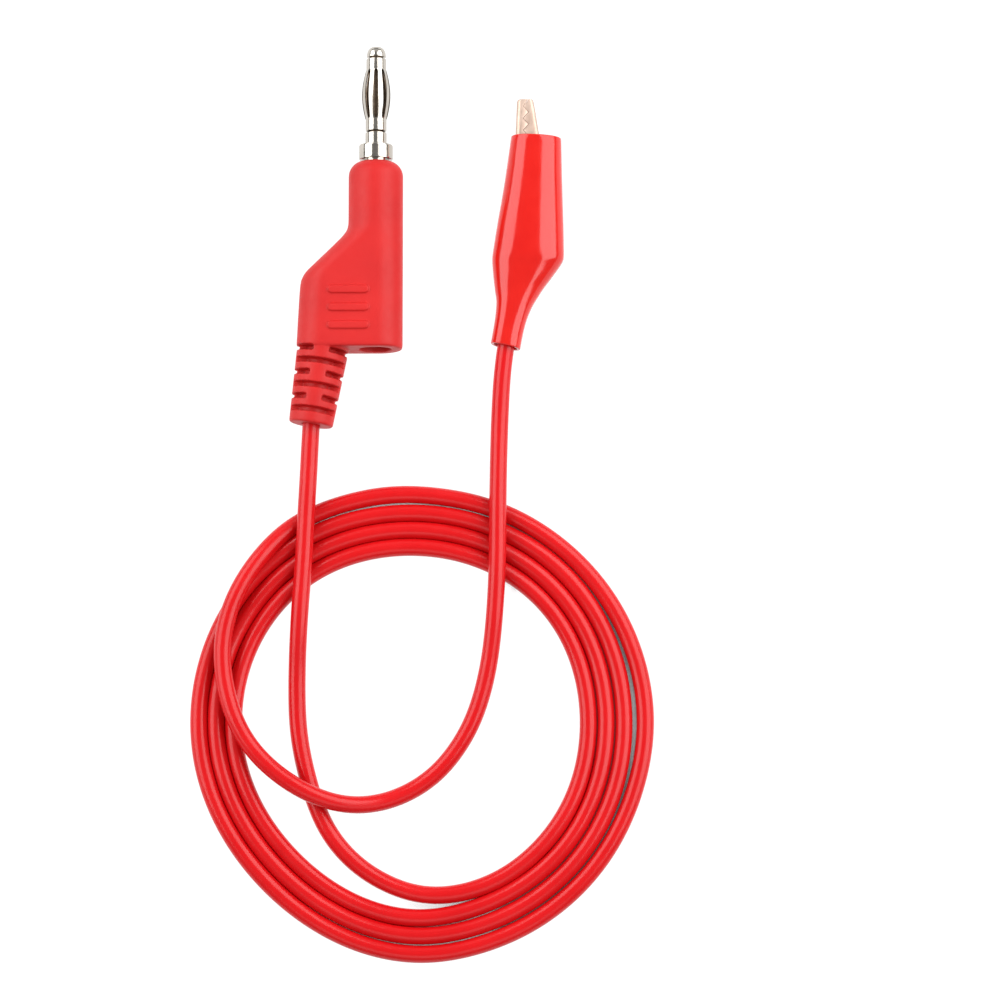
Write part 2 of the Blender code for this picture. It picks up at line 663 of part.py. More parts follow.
def make_lower_jaw():
    jaw = as_mesh(plate("clip_lower_jaw", lower_jaw_outline(), LOWER_HALF_WIDTH))
    narrow_front(jaw)
    jaw.location.z = CLIP_Z
    hollow_edge = scaled([
        (19.5, 23.5), (15.3, 23.5), (14.9, 21.3), (14.8, 17.0), (14.5, 13.0), (14.1, 8.0),
        (13.55, 4.0), (12.85, -0.5), (12.55, -3.5), (12.75, -6.5), (19.5, -6.5),
    ])
    hollow = channel_cutter("lower_jaw_hollow", hollow_edge, LOWER_HALF_WIDTH - SHEET)
    narrow_front(hollow)
    cut(jaw, hollow, "hollow")

    strip_outline = scaled([
        (12.3, -4.6), (12.7, -4.6), (12.75, -6.5), (12.85, -8.7), (12.42, -10.7),
        (12.15, -10.7), (12.45, -8.7), (12.3, -6.5),
    ])
    strip = as_mesh(plate("tail_strip", strip_outline, 1.3 * MM))
    strip.location.z = CLIP_Z
    join(jaw, strip, "tail_strip")
    inner = CABLE_RADIUS + GAP
    wide = crimp("cable_crimp", tail_point(-10.9), tail_point(-8.9), inner, inner + SHEET)
    join(jaw, wide, "cable_crimp")
    inner = CONDUCTOR_RADIUS + GAP
    small = crimp("wire_crimp", WIRE_CRIMP_START, WIRE_CRIMP_END, inner, inner + SHEET)
    join(jaw, small, "wire_crimp")
    cut(jaw, pivot_drill("lower_pivot_hole"), "pivot_hole")
    add_part(jaw, COPPERED_STEEL)


def make_upper_jaw():
    jaw = as_mesh(plate("clip_upper_jaw", upper_jaw_outline(), UPPER_HALF_WIDTH))
    jaw.location.z = CLIP_Z
    hollow_edge = scaled([
        (13.0, 23.5), (13.0, -6.0), (19.5, -6.0), (20.3, -3.4), (20.1, 0.0), (19.5, 5.0),
        (18.7, 10.0), (18.0, 14.0), (17.45, 17.2), (17.0, 20.4), (16.6, 21.4), (16.4, 23.5),
    ])
    hollow = channel_cutter("upper_jaw_hollow", hollow_edge, UPPER_HALF_WIDTH - SHEET)
    cut(jaw, hollow, "hollow")
    cut(jaw, pivot_drill("upper_pivot_hole"), "pivot_hole")
    hinge = bpy.data.objects.new("jaw_hinge", None)
    hinge.location = PIVOT
    PARTS.objects.link(hinge)
    add_part(jaw, COPPERED_STEEL)
    jaw.parent = hinge
    jaw.matrix_parent_inverse = Matrix.Translation(-PIVOT)


def make_rivet():
    head_bottom = LOWER_HALF_WIDTH + GAP
    head_top = head_bottom + 0.3 * MM
    upper = [
        (0, head_top), (RIVET_HEAD_RADIUS - 0.5 * MM, head_top),
        (RIVET_HEAD_RADIUS, head_bottom + 0.1 * MM), (RIVET_HEAD_RADIUS, head_bottom),
        (RIVET_RADIUS, head_bottom),
    ]
    lower = [(radius, -height) for radius, height in reversed(upper)]
    rivet = turned("clip_pivot_rivet", upper + lower, 24)
    rivet.location = PIVOT
    add_part(rivet, SPRING_STEEL)


def make_clip_spring():
    """A torsion coil round the rivet, with one leg on each jaw."""
    radius = SPRING_COIL_RADIUS
    half_height = SPRING_COIL_HALF_HEIGHT
    steps = 30
    points = [
        Vector((18.75, -1.2, 4.0)) * MM - Vector((0, 0, half_height)),
        Vector((18.45, 3.0, 4.0)) * MM - Vector((0, 0, half_height)),
    ]
    for i in range(steps + 1):
        angle = 2 * math.pi * SPRING_TURNS * i / steps
        height = half_height * (2 * i / steps - 1)
        round_rivet = Vector((radius * math.cos(angle), radius * math.sin(angle), height))
        points.append(PIVOT + round_rivet)
    points.append(Vector((14.6, 3.0, 4.0)) * MM + Vector((0, 0, half_height)))
    points.append(Vector((13.5, -1.2, 4.0)) * MM + Vector((0, 0, half_height)))
    add_part(tube("clip_spring", points, SPRING_WIRE_RADIUS), SPRING_STEEL)


def boot_stations():
    """(y, left, right, half depth) of the boot's outside in millimetres, from mouth to tail."""
    return [
        (16.3, 13.45, 21.6, 3.35), (13.0, 13.0, 21.65, 3.55), (9.2, 12.45, 21.72, 3.75),
        (5.5, 11.85, 21.82, 3.86), (1.8, 11.2, 21.92, 3.93), (-1.5, 10.68, 21.98, 3.97),
        (-3.4, 10.42, 21.98, 3.96), (-5.3, 10.45, 21.15, 3.75), (-7.2, 10.65, 19.85, 3.5),
        (-9.2, 10.95, 18.4, 3.2), (-11.2, 11.15, 16.95, 2.95), (-13.2, 11.0, 16.05, 2.6),
        (-15.5, 10.65, 15.4, 2.4), (-18.15, 10.15, 14.9, 2.35),
    ]


def make_boot():
    """A sleeve open at both ends, with oval sections that lean with its axis towards the tail."""
    count = 28
    bm = bmesh.new()
    rings = []
    for y, left, right, depth in boot_stations():
        middle = (left + right) / 2
        half = (right - left) / 2
        lean = math.tan(TAIL_LEAN) * min(1.0, max(0.0, (-9.0 - y) / 3.0))
        ring = []
        for i in range(count):
            angle = 2 * math.pi * i / count
            across = half * math.copysign(abs(math.cos(angle)) ** BOOT_SQUARENESS, math.cos(angle))
            deep = depth * math.copysign(abs(math.sin(angle)) ** BOOT_SQUARENESS, math.sin(angle))
            place = Vector((middle + across, y - lean * across, 0)) * MM
            ring.append(bm.verts.new(place + Vector((0, 0, CLIP_Z + deep * MM))))
        rings.append(ring)
    bridge_rings(bm, rings, close_ends=False)
    boot = add_part(object_from("clip_boot", bm), RED_BOOT)
    wall = boot.modifiers.new("wall", "SOLIDIFY")
    wall.thickness = BOOT_WALL
    wall.offset = -1


def make_cable_ends():
    """The jacket inside the plug and inside the clip, and the stripped conductor of each."""
    add_part(tube("cable_end_in_plug", JACKET_IN_PLUG, CABLE_RADIUS), RED_CABLE)
    add_part(tube("plug_conductor", conductor_in_plug(GAP), CONDUCTOR_RADIUS), COPPER)
    jacket = [tail_point(-18.1), tail_point(-14.0), tail_point(-11.0), tail_point(-8.7)]
    add_part(tube("cable_end_in_clip", jacket, CABLE_RADIUS), RED_CABLE)
    wire_axis = WIRE_CRIMP_END - WIRE_CRIMP_START
    conductor = [
        tail_point(-8.3),
        Vector((14.25, -7.95, 4.0)) * MM,
        Vector((13.9, -7.5, 4.0)) * MM,
        WIRE_CRIMP_START,
        WIRE_CRIMP_END,
        WIRE_CRIMP_END + wire_axis * 0.3,
    ]
    add_part(tube("clip_conductor", conductor, CONDUCTOR_RADIUS), COPPER)


def make_free_cable():
    plug_lead = smooth_route(PLUG_LEAD, LEAD_STEP)
    clip_lead = smooth_route(CLIP_LEAD, LEAD_STEP)
    add_part(tube("cable_plug_lead", plug_lead, CABLE_RADIUS), RED_CABLE)
    add_part(tube("cable_clip_lead", clip_lead, CABLE_RADIUS), RED_CABLE)
    round_edge = 0.9 * MM
    outline = [
        (COIL_OUTER_RADIUS - round_edge, COIL_HEIGHT), (COIL_OUTER_RADIUS, COIL_HEIGHT - round_edge),
        (COIL_OUTER_RADIUS, round_edge), (COIL_OUTER_RADIUS - round_edge, 0),
        (COIL_INNER_RADIUS + round_edge, 0), (COIL_INNER_RADIUS, round_edge),
        (COIL_INNER_RADIUS, COIL_HEIGHT - round_edge), (COIL_INNER_RADIUS + round_edge, COIL_HEIGHT),
    ]
    coil = turned_ring("cable_coil", outline, 64)
    coil.location = COIL_CENTRE
    add_part(coil, RED_CABLE)


make_core()
make_cage()
make_housing()
make_solder()
make_lower_jaw()
make_upper_jaw()
make_rivet()
make_clip_spring()
make_boot()
make_cable_ends()
make_free_cable()
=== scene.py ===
"""The looks of the alligator clip lead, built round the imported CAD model."""

import math

import bmesh
import bpy
from mathutils import Matrix, Vector


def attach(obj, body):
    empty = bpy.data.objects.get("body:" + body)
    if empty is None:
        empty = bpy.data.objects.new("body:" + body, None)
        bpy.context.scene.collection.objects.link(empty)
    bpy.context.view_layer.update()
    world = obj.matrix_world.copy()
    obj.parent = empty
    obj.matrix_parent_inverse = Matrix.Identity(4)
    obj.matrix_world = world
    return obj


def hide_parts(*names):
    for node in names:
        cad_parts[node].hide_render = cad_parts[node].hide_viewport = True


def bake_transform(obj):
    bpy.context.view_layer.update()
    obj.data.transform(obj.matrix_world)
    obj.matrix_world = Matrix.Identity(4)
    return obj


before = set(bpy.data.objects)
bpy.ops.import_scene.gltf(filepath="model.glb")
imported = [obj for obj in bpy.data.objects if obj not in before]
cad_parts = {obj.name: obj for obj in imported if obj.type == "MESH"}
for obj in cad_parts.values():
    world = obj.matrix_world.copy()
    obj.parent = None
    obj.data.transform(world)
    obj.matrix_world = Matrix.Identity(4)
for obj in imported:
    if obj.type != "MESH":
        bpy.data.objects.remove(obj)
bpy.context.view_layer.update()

MM = 0.001
scene = bpy.context.scene

# ---------------------------------------------------------------- sizes as in the CAD, in millimetres
PLUG_X = -8.4
PLUG_Z = 4.35
CLIP_Z = 4.0
PIVOT = Vector((16.5, 7.6, 4.0))
CABLE_RADIUS = 1.4
TAIL_LEAN = math.radians(12.5)
COIL_CENTRE = Vector((-0.8, -78.75, 0.0))

# ---------------------------------------------------------------- sizes that differ from the CAD's
BOOT_SQUARENESS = 0.85  # 1 is an ellipse, and less is squarer
RELIEF_TOP = Vector((-16.85, -18.7, 4.35))
RELIEF_END = Vector((-18.7, -30.9, 4.35))
COIL_Z = 1.4  # height of the turns' middle, where the CAD has one flat ring

# ---------------------------------------------------------------- the cable's route, in millimetres
# All of it was read off the photograph by eye, and a scratch script turned those readings into
# millimetres and, for the coil, into radii. They were then changed.
# From the plug to the coil.
PLUG_LEAD = [
    (-18.62, -30.6, 4.35), (-18.7, -31.2, 4.35), (-18.9, -36.3, 4.35), (-19.1, -41.3, 4.3),
    (-19.4, -45.0, 4.35), (-19.6, -51.6, 4.25), (-20.0, -56.9, 4.3), (-20.3, -60.9, 4.4),
    (-20.6, -66.0, 3.4), (-20.8, -71.2, 2.0), (-20.7, -79.2, 1.4), (-20.0, -83.5, 1.4),
    (-18.3, -90.1, 1.4), (-16.5, -94.9, 1.4), (-14.3, -98.2, 1.4), (-10.8, -101.7, 1.4),
    (-6.6, -104.2, 1.4),
]
# The radius of each turn of the coil, at every eighth of a turn from the bottom of the picture.
TURN_RADII = [
    27.5, 27.45, 26.75, 27.85, 28.55, 30.35, 30.3, 29.8,
    31.15, 30.28, 29.57, 30.6, 31.3, 33.1, 33.05, 32.55,
    33.94, 33.1, 32.4, 33.35, 34.05, 35.85, 35.8, 35.3,
    36.82, 36.0, 35.85, 36.15, 37.0,
]
# Changes to the radius, by point: the turns close up just past the bottom, and the last one also
# draws in a little further on.
PINCHES = {
    1: 0.35, 2: 0.28, 25: -0.38, 26: -0.22, 49: -0.3, 50: -0.15,
    73: -0.25, 74: -0.1, 76: -0.15, 77: -0.2,
}
EIGHTHS = 8
POINTS_PER_EIGHTH = 3
UNEVENNESS = 0.012  # of the jacket's radius
# From the top of the last turn, over the coil, across its middle and over it again to the clip.
CLIP_LEAD = [
    (-7.8, -41.9, 1.4), (-15.8, -43.9, 1.4), (-20.7, -46.1, 1.6), (-23.8, -48.5, 2.3),
    (-27.6, -53.1, 3.7), (-30.2, -57.2, 4.25), (-31.9, -61.4, 4.3), (-32.7, -64.9, 4.3),
    (-32.8, -67.8, 4.3), (-32.6, -70.7, 4.3), (-31.7, -75.2, 4.3), (-29.8, -80.3, 4.3),
    (-26.9, -84.2, 4.4), (-22.9, -87.7, 4.7), (-18.7, -90.2, 4.7), (-14.2, -91.8, 3.8),
    (-10.6, -92.1, 2.7), (-5.2, -91.0, 1.6), (-1.5, -89.1, 1.45), (2.1, -86.6, 1.45),
    (4.0, -84.0, 1.45), (7.0, -79.5, 1.45), (8.9, -73.9, 1.5), (10.1, -68.4, 2.0),
    (10.8, -61.6, 3.6), (11.2, -54.8, 4.25), (11.3, -49.3, 4.3), (11.3, -43.7, 4.3),
    (11.4, -38.1, 3.7), (11.5, -33.2, 3.1), (11.6, -29.9, 3.0), (11.8, -26.1, 3.3),
    (12.0, -21.7, 3.8), (12.45, -18.6, 4.0), (12.75, -17.2, 4.0),
]


# ---------------------------------------------------------------- camera
def make_camera():
    """Looks down on the table, tilted a little towards the plug and the clip."""
    tilt = math.radians(7.5)
    distance = 0.7  # metres
    target = Vector((11.74, -42.57, 0.0)) * MM
    camera = bpy.data.objects.new("camera", bpy.data.cameras.new("camera"))
    scene.collection.objects.link(camera)
    camera.location = target + Vector((0, -math.sin(tilt), math.cos(tilt))) * distance
    camera.rotation_euler = (tilt, 0, 0)
    camera.data.sensor_width = 36
    camera.data.lens = 156.3
    camera.data.clip_end = 10
    scene.camera = camera


make_camera()


# ---------------------------------------------------------------- mesh helpers
def new_object(name, mesh):
    obj = bpy.data.objects.new(name, mesh)
    scene.collection.objects.link(obj)
    return obj


def object_from(name, bm, smooth_angle=None):
    mesh = bpy.data.meshes.new(name)
    bm.to_mesh(mesh)
    bm.free()
    mesh.shade_smooth()
    if smooth_angle is not None:
        mesh.set_sharp_from_angle(angle=math.radians(smooth_angle))
    return new_object(name, mesh)


def apply_modifiers(obj):
    bpy.context.view_layer.update()
    graph = bpy.context.evaluated_depsgraph_get()
    mesh = bpy.data.meshes.new_from_object(obj.evaluated_get(graph))
    obj.modifiers.clear()
    if obj.type == "CURVE":
        name, place = obj.name, obj.matrix_world.copy()
        bpy.data.objects.remove(obj)
        obj = new_object(name, mesh)
        obj.matrix_world = place
    else:
        obj.data = mesh
    return obj


def weld(mesh, distance=1e-7):
    bm = bmesh.new()
    bm.from_mesh(mesh)
    bmesh.ops.remove_doubles(bm, verts=bm.verts, dist=distance)
    bmesh.ops.recalc_face_normals(bm, faces=bm.faces)
    bm.to_mesh(mesh)
    bm.free()


def freeze(obj):
    """Moves an object's place into its mesh."""
    bpy.context.view_layer.update()
    obj.data.transform(obj.matrix_world)
    obj.matrix_world = Matrix.Identity(4)
    return obj


def arc(centre, radius, start, end, steps):
    points = []
    for i in range(steps + 1):
        angle = math.radians(start + (end - start) * i / steps)
        points.append((centre[0] + radius * math.cos(angle), centre[1] + radius * math.sin(angle)))
    return points


def plate(name, outline, half_thickness):
    """A flat outline in millimetres, extruded both ways along Z, as a welded mesh."""
    curve = bpy.data.curves.new(name, "CURVE")
    curve.dimensions = "2D"
    curve.fill_mode = "BOTH"
    curve.extrude = half_thickness * MM
    spline = curve.splines.new("POLY")
    spline.points.add(len(outline) - 1)
    for point, (x, y) in zip(spline.points, outline):
        point.co = (x * MM, y * MM, 0, 1)
    spline.use_cyclic_u = True
    obj = apply_modifiers(new_object(name, curve))
    weld(obj.data)
    return obj


def turned(name, profile, steps=96, closed=False):
    """A profile of (radius, height) pairs in millimetres, turned about Z; top to bottom outside."""
    mesh = bpy.data.meshes.new(name)
    if closed:
        profile = [*profile, profile[0]]
    mesh.from_pydata(
        [(radius * MM, 0, height * MM) for radius, height in profile],
        [(i, i + 1) for i in range(len(profile) - 1)],
        [],
    )
    obj = new_object(name, mesh)
    screw = obj.modifiers.new("turn", "SCREW")
    screw.steps = steps
    screw.render_steps = steps
    screw.use_merge_vertices = True
    screw.merge_threshold = 1e-7
    return apply_modifiers(obj)


def held(profile, inset=0.05):
    """Adds a point near each end of every long stretch, so that its shading stays even."""
    found = []
    for first, second in zip(profile, profile[1:]):
        a, b = Vector(first), Vector(second)
        found.append(first)
        if (b - a).length > 5 * inset:
            step = (b - a).normalized() * inset
            found += [tuple(a + step), tuple(b - step)]
    return [*found, profile[-1]]


def stand_along_y(obj, x, z):
    obj.rotation_euler = (-math.pi / 2, 0, 0)
    obj.location = (x * MM, 0, z * MM)
    return freeze(obj)


def point_along(obj, start, direction):
    side = Vector((0, 0, 1))
    across = side.cross(direction).normalized()
    turn = Matrix((across, side, direction.normalized())).transposed()
    obj.matrix_world = Matrix.Translation(start * MM) @ turn.to_4x4()
    return freeze(obj)


def boolean(obj, other, operation):
    modifier = obj.modifiers.new(operation, "BOOLEAN")
    modifier.operation = operation
    modifier.solver = "EXACT"
    modifier.object = other
    apply_modifiers(obj)
    bpy.data.objects.remove(other, do_unlink=True)


def remeshed(obj, voxel, smooth_steps, factor=0.5):
    """Moulds the edges soft: a fine voxel skin that is then smoothed."""
    skin = obj.modifiers.new("skin", "REMESH")
    skin.mode = "VOXEL"
    skin.voxel_size = voxel * MM
    skin.use_smooth_shade = True
    soft = obj.modifiers.new("soft", "SMOOTH")
    soft.factor = factor
    soft.iterations = smooth_steps
    apply_modifiers(obj)
    obj.data.shade_smooth()


def bridge_rings(bm, rings, close_ends):
    count = len(rings[0])
    for first, second in zip(rings, rings[1:]):
        for i in range(count):
            j = (i + 1) % count
            bm.faces.new((first[i], first[j], second[j], second[i]))
    if close_ends:
        bm.faces.new(rings[0])
        bm.faces.new(rings[-1])
    bmesh.ops.recalc_face_normals(bm, faces=bm.faces)


def catmull(before, a, b, after, t):
    """A point between a and b on a smooth curve through four values."""
    rise = (b - before) * t
    bend = (2 * before - 5 * a + 4 * b - after) * t**2
    twist = (3 * a - before - 3 * b + after) * t**3
    return a + (rise + bend + twist) / 2


def smooth_through(values, steps):
    """Values between the given ones, on a smooth curve through them all."""
    padded = [2 * values[0] - values[1], *values, 2 * values[-1] - values[-2]]
    found = []
    for before, a, b, after in zip(padded, padded[1:], padded[2:], padded[3:]):
        for i in range(steps):
            found.append(catmull(before, a, b, after, i / steps))
    found.append(values[-1])
    return found


def evenly_spaced(points, step):
    travelled = [0.0]
    for a, b in zip(points, points[1:]):
        travelled.append(travelled[-1] + (b - a).length)
    pieces = round(travelled[-1] / step)
    found = [points[0]]
    at = 0
    for i in range(1, pieces):
        goal = travelled[-1] * i / pieces
        while travelled[at + 1] < goal:
            at += 1
        share = (goal - travelled[at]) / (travelled[at + 1] - travelled[at])
        found.append(points[at].lerp(points[at + 1], share))
    found.append(points[-1])
    return found, travelled[-1]


def relaxed(points, rounds):
    """Takes the small waves out of a path, with its ends held."""
    for _ in range(rounds):
        inner = [(a + 2 * b + c) / 4 for a, b, c in zip(points, points[1:], points[2:])]
        points = [points[0], *inner, points[-1]]
    return points


def tube_mesh(name, path, radius_at, sides):
    """A round tube along a path of points, with closed ends and UVs that run along it."""
    bm = bmesh.new()
    uv_layer = bm.loops.layers.uv.new("UVMap")
    rings = []
    tangent = (path[1] - path[0]).normalized()
    side = Vector((0, 0, 1)).cross(tangent).normalized()
    travelled = 0.0
    lengths = []
    for i, point in enumerate(path):
        ahead = path[min(i + 1, len(path) - 1)]
        behind = path[max(i - 1, 0)]
        tangent = (ahead - behind).normalized()
        side = (side - tangent * side.dot(tangent)).normalized()
        up = tangent.cross(side)
        if i:
            travelled += (point - path[i - 1]).length
        lengths.append(travelled)
        ring = []
        for k in range(sides):
            angle = 2 * math.pi * k / sides
            radius = radius_at(travelled, angle)
            ring.append(bm.verts.new(point + (side * math.cos(angle) + up * math.sin(angle)) * radius))
        rings.append(ring)
    for n, (first, second) in enumerate(zip(rings, rings[1:])):
        for k in range(sides):
            j = (k + 1) % sides
            face = bm.faces.new((first[k], first[j], second[j], second[k]))
            corners = ((n, k), (n, k + 1), (n + 1, k + 1), (n + 1, k))
            for loop, (ring_at, around) in zip(face.loops, corners):
                loop[uv_layer].uv = (lengths[ring_at], around / sides)
    bm.faces.new(rings[0])
    bm.faces.new(rings[-1])
    bmesh.ops.recalc_face_normals(bm, faces=bm.faces)
    return object_from(name, bm, 60)


# ---------------------------------------------------------------- materials
class Nodes:
    """Short names for the nodes of one material."""

    def __init__(self, name):
        self.material = bpy.data.materials.new(name)
        self.material.use_nodes = True
        self.tree = self.material.node_tree
        self.shader = self.tree.nodes["Principled BSDF"]
        self.place = self.tree.nodes.new("ShaderNodeTexCoord")

    def set(self, **values):
        for name, value in values.items():
            self.shader.inputs[name.replace("_", " ")].default_value = value

    def node(self, kind, **inputs):
        node = self.tree.nodes.new(kind)
        for name, value in inputs.items():
            socket = node.inputs[name.replace("_", " ")]
            if isinstance(value, bpy.types.NodeSocket):
                self.tree.links.new(value, socket)
            else:
                socket.default_value = value
        return node

    def link(self, output, name):
        self.tree.links.new(output, self.shader.inputs[name])

    def noise(self, size, detail=3.0, stretch=(1, 1, 1), coordinate="Object", rough=0.5):
        """Noise with features about size millimetres across."""
        scaled = self.node("ShaderNodeMapping", Vector=self.place.outputs[coordinate], Scale=stretch)
        scale = 1 / (size * MM)
        texture = self.node("ShaderNodeTexNoise", Vector=scaled.outputs[0], Scale=scale, Detail=detail)
        texture.inputs["Roughness"].default_value = rough
        return texture.outputs["Fac"]

    def spread(self, value, low, high, start=0.3, end=0.7):
        """A value mapped from start and end to low and high."""
        node = self.node("ShaderNodeMapRange", Value=value)
        node.inputs["From Min"].default_value = start
        node.inputs["From Max"].default_value = end
        node.inputs["To Min"].default_value = low
        node.inputs["To Max"].default_value = high
        return node.outputs[0]

    def blend_colours(self, value, first, second):
        ramp = self.node("ShaderNodeMix")
        ramp.data_type = "RGBA"
        ramp.inputs[6].default_value = (*first, 1)
        ramp.inputs[7].default_value = (*second, 1)
        self.tree.links.new(value, ramp.inputs[0])
        return ramp.outputs[2]

    def bump(self, *layers):
        """Stacks (height, depth in millimetres) layers of relief on the surface."""
        normal = None
        for height, depth in layers:
            bump = self.node("ShaderNodeBump", Height=height, Strength=1.0, Distance=depth * MM)
            if normal is not None:
                self.tree.links.new(normal, bump.inputs["Normal"])
            normal = bump.outputs[0]
        self.link(normal, "Normal")


def red_moulding():
    m = Nodes("red_moulding")
    tone = m.noise(7.0, 4)
    m.link(m.blend_colours(m.spread(tone, 0, 1), (0.49, 0.010, 0.010), (0.545, 0.013, 0.012)), "Base Color")
    m.link(m.spread(m.noise(1.2, 3), 0.46, 0.56), "Roughness")
    grain = m.noise(0.22, 2, rough=0.6)
    orange_peel = m.noise(1.6, 2)
    m.bump((orange_peel, 0.02), (grain, 0.012))
    m.set(IOR=1.45, Specular_IOR_Level=0.35)
    return m.material


def cable_jacket():
    m = Nodes("cable_jacket")
    tone = m.noise(9.0, 3)
    m.link(m.blend_colours(m.spread(tone, 0, 1), (0.54, 0.004, 0.006), (0.585, 0.006, 0.008)), "Base Color")
    m.link(m.spread(m.noise(2.0, 3), 0.20, 0.27), "Roughness")
    waves = m.noise(5.0, 2)
    grain = m.noise(0.3, 2)
    m.bump((waves, 0.03), (grain, 0.002))
    m.set(IOR=1.5, Specular_IOR_Level=0.32)
    return m.material


def red_boot():
    m = Nodes("red_boot")
    tone = m.noise(6.0, 3)
    m.link(m.blend_colours(m.spread(tone, 0, 1), (0.565, 0.008, 0.005), (0.62, 0.012, 0.007)), "Base Color")
    m.link(m.spread(m.noise(3.0, 3), 0.11, 0.17), "Roughness")
    ripple = m.noise(3.5, 2, stretch=(1, 0.5, 1))
    grain = m.noise(0.3, 2)
    m.bump((ripple, 0.03), (grain, 0.002))
    m.set(IOR=1.5)
    return m.material


def nickel():
    m = Nodes("nickel")
    tone = m.noise(2.5, 3)
    m.link(m.blend_colours(m.spread(tone, 0, 1), (0.50, 0.46, 0.41), (0.58, 0.54, 0.485)), "Base Color")
    m.link(m.spread(m.noise(0.7, 4), 0.10, 0.20), "Roughness")
    turning = m.noise(0.09, 2, stretch=(0.05, 1, 0.05))
    m.bump((turning, 0.002), (m.noise(0.8, 2), 0.004))
    m.set(Metallic=1.0)
    return m.material


def painted_shade_metal():
    """Painted shade for the inside faces of the pin: the plated metal coloured dark brown, as where it lies
    in shadow.
    """
    m = Nodes("painted_shade_metal")
    tone = m.noise(0.9, 3)
    m.link(m.blend_colours(m.spread(tone, 0, 1), (0.11, 0.077, 0.052), (0.20, 0.15, 0.108)), "Base Color")
    m.link(m.spread(m.noise(0.5, 3), 0.42, 0.6), "Roughness")
    m.bump((m.noise(0.12, 2), 0.003))
    m.set(Metallic=1.0)
    return m.material


def coppered_jaw():
    m = Nodes("coppered_jaw")
    tone = m.noise(1.6, 4)
    m.link(m.blend_colours(m.spread(tone, 0, 1), (0.56, 0.41, 0.33), (0.67, 0.51, 0.42)), "Base Color")
    m.link(m.spread(m.noise(0.5, 4), 0.45, 0.58), "Roughness")
    rolling = m.noise(0.12, 2, stretch=(1, 0.08, 1))
    m.bump((rolling, 0.004), (m.noise(1.2, 2), 0.015))
    m.set(Metallic=1.0)
    return m.material


def spring_steel():
    m = Nodes("spring_steel")
    tone = m.noise(0.8, 4)
    m.link(m.blend_colours(m.spread(tone, 0, 1), (0.30, 0.30, 0.31), (0.50, 0.50, 0.51)), "Base Color")
    m.link(m.spread(m.noise(0.4, 3), 0.25, 0.42), "Roughness")
    m.bump((m.noise(0.1, 2), 0.003))
    m.set(Metallic=1.0)
    return m.material


def copper_wire():
    m = Nodes("copper_wire")
    strands = m.noise(0.16, 1, stretch=(1, 0.12, 1))
    m.link(m.blend_colours(m.spread(strands, 0, 1), (0.45, 0.20, 0.11), (0.85, 0.45, 0.27)), "Base Color")
    m.link(m.spread(m.noise(0.3, 3), 0.22, 0.4), "Roughness")
    m.bump((strands, 0.05))
    m.set(Metallic=1.0)
    return m.material


def solder():
    m = Nodes("solder")
    tone = m.noise(0.5, 4)
    m.link(m.blend_colours(m.spread(tone, 0, 1), (0.52, 0.52, 0.50), (0.70, 0.70, 0.67)), "Base Color")
    m.link(m.spread(tone, 0.28, 0.45), "Roughness")
    m.bump((m.noise(0.4, 2), 0.02))
    m.set(Metallic=1.0)
    return m.material


MATERIALS = {
    "red_moulding": red_moulding(),
    "cable_jacket": cable_jacket(),
    "red_boot": red_boot(),
    "nickel": nickel(),
    "painted_shade_metal": painted_shade_metal(),
    "coppered_jaw": coppered_jaw(),
    "spring_steel": spring_steel(),
    "copper_wire": copper_wire(),
    "solder": solder(),
}


def finish(obj, slot):
    obj.data.materials.clear()
    obj.data.materials.append(MATERIALS[slot])
    return obj


def paint_inside_shade(obj, is_inside):
    """Paints shade on the inside faces of a pin piece, with the dark painted-shade material in place of the
    plated metal.

    The test takes a face's distance from the axis, its y, and how far it faces outward, from -1 to 1.
    """
    obj.data.materials.append(MATERIALS["painted_shade_metal"])
    for face in obj.data.polygons:
        across = Vector((face.center.x / MM - PLUG_X, 0, face.center.z / MM - PLUG_Z))
        outward = face.normal.dot(across.normalized()) if across.length > 0 else 0.0
        if is_inside(across.length, face.center.y / MM, outward):
            face.material_index = 1


# ---------------------------------------------------------------- the cable
def coil_points():
    """The turns of the coil, from their radii and a steady turn of the angle."""
    radii = smooth_through(TURN_RADII, POINTS_PER_EIGHTH)
    points = []
    for i, radius in enumerate(radii):
        angle = math.radians(-90 + 360 / EIGHTHS * i / POINTS_PER_EIGHTH)
        across = Vector((math.cos(angle), math.sin(angle), 0)) * (radius + PINCHES.get(i, 0.0))
        points.append(COIL_CENTRE + across + Vector((0, 0, COIL_Z)))
    return points


def make_cable():
    spacing = 1.0 * MM
    marks = [Vector(p) for p in PLUG_LEAD] + coil_points() + [Vector(p) for p in CLIP_LEAD]
    smooth = smooth_through([mark * MM for mark in marks], 12)
    path = relaxed(evenly_spaced(smooth, spacing)[0], 24)
    path, length = evenly_spaced(path, spacing)

    def radius_at(travelled, angle):
        """Not quite even along the cable, nor quite round."""
        swell = math.sin(travelled * 211) * math.sin(travelled * 83 + 1.3)
        oval = math.cos(2 * angle + travelled * 35) * math.sin(travelled * 47)
        return (CABLE_RADIUS + UNEVENNESS * swell + UNEVENNESS * oval) * MM

    cable = finish(tube_mesh("lead_cable", path, radius_at, 28), "cable_jacket")
    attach(cable, "lead")
    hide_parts("cable_plug_lead", "cable_coil", "cable_clip_lead")


make_cable()


